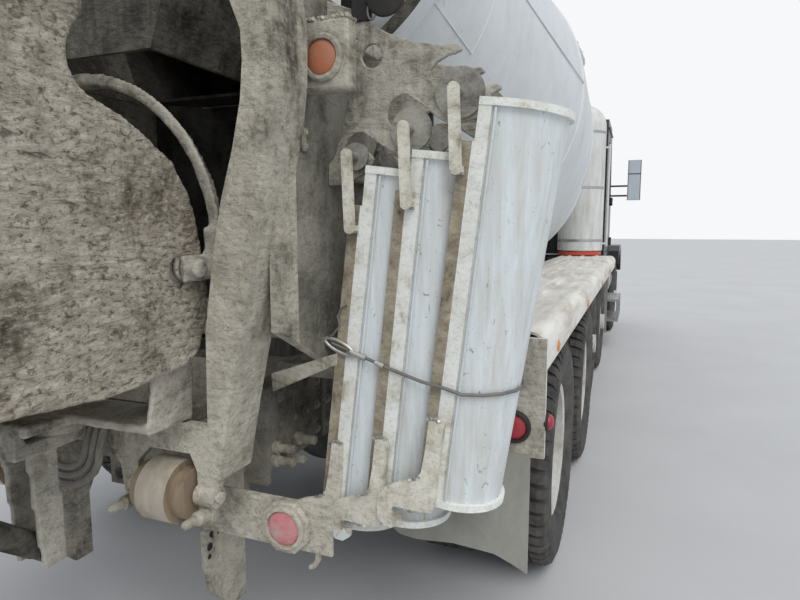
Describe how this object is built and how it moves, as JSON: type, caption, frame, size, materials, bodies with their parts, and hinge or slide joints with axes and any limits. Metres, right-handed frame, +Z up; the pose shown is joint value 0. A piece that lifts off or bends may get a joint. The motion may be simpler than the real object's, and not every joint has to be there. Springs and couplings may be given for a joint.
{
  "type": "concrete mixer truck",
  "caption": "Rear-discharge concrete mixer truck with a tilted turning drum, folding main chute, hung extension chutes, steering front axle, opening doors and hood.",
  "frame": {"origin": "On the ground, midway along the whole length and on the centre line of the truck.", "axes": "+X forward, +Y to the truck's left, +Z up."},
  "size_m": [10.4, 2.96, 3.96],
  "materials": {
    "frame_paint": "satin, dusty",
    "bumper_chrome": "polished",
    "axle_black": "dusty",
    "engine_grey": "oily",
    "cab_paint": "gloss",
    "clear_glass": "gloss",
    "seat_fabric": "matte",
    "dash_plastic": "matte",
    "bright_aluminium": "brushed",
    "stack_chrome": "polished",
    "mirror_plastic": "satin",
    "body_white": "satin, dusty",
    "flap_rubber": "matte, dusty",
    "crusted_steel": "matte, caked with concrete",
    "gearbox_paint": "satin",
    "cable_steel": "matte",
    "hose_rubber": "matte, dusty",
    "red_lens": "gloss",
    "orange_lens": "gloss, dusty",
    "lamp_glass": "gloss",
    "grille_chrome": "polished",
    "roller_steel": "worn",
    "bumper_rubber": "matte, dusty",
    "rod_chrome": "polished",
    "wheel_tyre": "matte"
  },
  "bodies": {
    "chassis": {"chassis_frame": "frame_paint", "front_bumper": "bumper_chrome", "front_axle": "axle_black", "rear_axles": "axle_black", "powertrain": "engine_grey", "cab_shell": "cab_paint", "cab_glass": "clear_glass", "seats": "seat_fabric", "dashboard": "dash_plastic", "fuel_tanks": "bright_aluminium", "cab_steps": "bright_aluminium", "exhaust_stack": "stack_chrome", "mirrors": "mirror_plastic", "fenders": "body_white", "mudflaps": "flap_rubber", "water_tank": "body_white", "front_pedestal": "body_white", "drum_gearbox": "gearbox_paint", "rear_pedestal": "crusted_steel", "charge_hopper": "body_white", "discharge_hopper": "crusted_steel", "chute_rack": "crusted_steel", "extension_chutes": "body_white", "chute_hooks": "crusted_steel", "lashing_cable": "cable_steel", "hydraulic_hoses": "hose_rubber", "tail_lamps": "red_lens", "marker_lamps": "orange_lens"},
    "hood": {"hood": "cab_paint", "grille": "grille_chrome", "headlamps": "lamp_glass"},
    "door_left": {"door_left": "cab_paint", "door_glass_left": "clear_glass"},
    "door_right": {"door_right": "cab_paint", "door_glass_right": "clear_glass"},
    "drum": {"drum": "body_white"},
    "roller_left": {"roller_left": "roller_steel"},
    "roller_right": {"roller_right": "roller_steel"},
    "bumper_roller_left": {"bumper_roller_left": "bumper_rubber"},
    "bumper_roller_right": {"bumper_roller_right": "bumper_rubber"},
    "chute_swivel": {"chute_swivel": "crusted_steel"},
    "main_chute": {"main_chute": "crusted_steel"},
    "fold_chute": {"fold_chute": "crusted_steel"},
    "lift_barrel": {"lift_barrel": "frame_paint"},
    "lift_rod": {"lift_rod": "rod_chrome"},
    "knuckle_left": {"knuckle_left": "axle_black"},
    "knuckle_right": {"knuckle_right": "axle_black"},
    "front_wheel_left": {"front_wheel_left": "wheel_tyre"},
    "front_wheel_right": {"front_wheel_right": "wheel_tyre"},
    "pusher_wheel_front_left": {"pusher_wheel_front_left": "wheel_tyre"},
    "pusher_wheel_front_right": {"pusher_wheel_front_right": "wheel_tyre"},
    "pusher_wheel_rear_left": {"pusher_wheel_rear_left": "wheel_tyre"},
    "pusher_wheel_rear_right": {"pusher_wheel_rear_right": "wheel_tyre"},
    "drive_wheel_front_left": {"drive_wheel_front_left": "wheel_tyre"},
    "drive_wheel_front_right": {"drive_wheel_front_right": "wheel_tyre"},
    "drive_wheel_rear_left": {"drive_wheel_rear_left": "wheel_tyre"},
    "drive_wheel_rear_right": {"drive_wheel_rear_right": "wheel_tyre"}
  },
  "joints": [
    {"name": "steer_left", "type": "hinge", "parent": "chassis", "child": "knuckle_left", "pos_m": [4.2, 0.89, 0.51], "axis": [0, 0, 1], "range_deg": [-32, 32]},
    {"name": "steer_right", "type": "hinge", "parent": "chassis", "child": "knuckle_right", "pos_m": [4.2, -0.89, 0.51], "axis": [0, 0, 1], "range_deg": [-32, 32]},
    {"name": "front_wheel_left_spin", "type": "hinge", "parent": "knuckle_left", "child": "front_wheel_left", "pos_m": [4.2, 1.05, 0.51], "axis": [0, 1, 0], "continuous": true},
    {"name": "front_wheel_right_spin", "type": "hinge", "parent": "knuckle_right", "child": "front_wheel_right", "pos_m": [4.2, -1.05, 0.51], "axis": [0, 1, 0], "continuous": true},
    {"name": "pusher_wheel_front_left_spin", "type": "hinge", "parent": "chassis", "child": "pusher_wheel_front_left", "pos_m": [1.55, 1.02, 0.51], "axis": [0, 1, 0], "continuous": true},
    {"name": "pusher_wheel_front_right_spin", "type": "hinge", "parent": "chassis", "child": "pusher_wheel_front_right", "pos_m": [1.55, -1.02, 0.51], "axis": [0, 1, 0], "continuous": true},
    {"name": "pusher_wheel_rear_left_spin", "type": "hinge", "parent": "chassis", "child": "pusher_wheel_rear_left", "pos_m": [0.2, 1.02, 0.51], "axis": [0, 1, 0], "continuous": true},
    {"name": "pusher_wheel_rear_right_spin", "type": "hinge", "parent": "chassis", "child": "pusher_wheel_rear_right", "pos_m": [0.2, -1.02, 0.51], "axis": [0, 1, 0], "continuous": true},
    {"name": "drive_wheel_front_left_spin", "type": "hinge", "parent": "chassis", "child": "drive_wheel_front_left", "pos_m": [-1.18, 1.083, 0.51], "axis": [0, 1, 0], "continuous": true},
    {"name": "drive_wheel_front_right_spin", "type": "hinge", "parent": "chassis", "child": "drive_wheel_front_right", "pos_m": [-1.18, -1.083, 0.51], "axis": [0, 1, 0], "continuous": true},
    {"name": "drive_wheel_rear_left_spin", "type": "hinge", "parent": "chassis", "child": "drive_wheel_rear_left", "pos_m": [-2.5, 1.083, 0.51], "axis": [0, 1, 0], "continuous": true},
    {"name": "drive_wheel_rear_right_spin", "type": "hinge", "parent": "chassis", "child": "drive_wheel_rear_right", "pos_m": [-2.5, -1.083, 0.51], "axis": [0, 1, 0], "continuous": true},
    {"name": "drum_spin", "type": "hinge", "parent": "chassis", "child": "drum", "pos_m": [-0.3, 0, 2.35], "axis": [-0.9781, 0, 0.2079], "continuous": true},
    {"name": "roller_left_spin", "type": "hinge", "parent": "chassis", "child": "roller_left", "pos_m": [-2.84901, 0.51375, 2.1417], "axis": [-0.9781, 0, 0.2079], "continuous": true},
    {"name": "roller_right_spin", "type": "hinge", "parent": "chassis", "child": "roller_right", "pos_m": [-2.84901, -0.51375, 2.1417], "axis": [-0.9781, 0, 0.2079], "continuous": true},
    {"name": "bumper_roller_left_spin", "type": "hinge", "parent": "chassis", "child": "bumper_roller_left", "pos_m": [-4, 0.322, 0.8], "axis": [0, 1, 0], "continuous": true},
    {"name": "bumper_roller_right_spin", "type": "hinge", "parent": "chassis", "child": "bumper_roller_right", "pos_m": [-4, -0.322, 0.8], "axis": [0, 1, 0], "continuous": true},
    {"name": "hood_tilt", "type": "hinge", "parent": "chassis", "child": "hood", "pos_m": [4.95, 0, 0.9], "axis": [0, 1, 0], "range_deg": [0, 60]},
    {"name": "door_left_swing", "type": "hinge", "parent": "chassis", "child": "door_left", "pos_m": [3.592, 1.116, 1.9], "axis": [0, 0, -1], "range_deg": [0, 65]},
    {"name": "door_right_swing", "type": "hinge", "parent": "chassis", "child": "door_right", "pos_m": [3.592, -1.116, 1.9], "axis": [0, 0, 1], "range_deg": [0, 65]},
    {"name": "chute_swing", "type": "hinge", "parent": "chassis", "child": "chute_swivel", "pos_m": [-4.1, 0, 0.985], "axis": [0, 0, 1], "range_deg": [-30, 30]},
    {"name": "chute_lift", "type": "hinge", "parent": "chute_swivel", "child": "main_chute", "pos_m": [-4.015, 0, 1.418], "axis": [0, 1, 0], "range_deg": [-20, 10]},
    {"name": "chute_fold", "type": "hinge", "parent": "main_chute", "child": "fold_chute", "pos_m": [-5.14, 0, 1.86], "axis": [0, -1, 0], "range_deg": [0, 165]},
    {"name": "barrel_pivot", "type": "hinge", "parent": "chute_swivel", "child": "lift_barrel", "pos_m": [-4.16, 0, 0.64], "axis": [0, 1, 0], "range_deg": [-12, 6]},
    {"name": "rod_slide", "type": "slide", "parent": "lift_barrel", "child": "lift_rod", "axis": [-0.7765, 0, 0.6302], "range_m": [-0.25, 0.125]}
  ],
  "couplings": [
    {"joint": "steer_right", "follows": "steer_left", "ratio": 1},
    {"joint": "roller_left_spin", "follows": "drum_spin", "ratio": -6.16},
    {"joint": "roller_right_spin", "follows": "drum_spin", "ratio": -6.16},
    {"joint": "barrel_pivot", "follows": "chute_lift", "ratio": 0.5845},
    {"joint": "rod_slide", "follows": "chute_lift", "m_per_rad": 0.713}
  ]
}
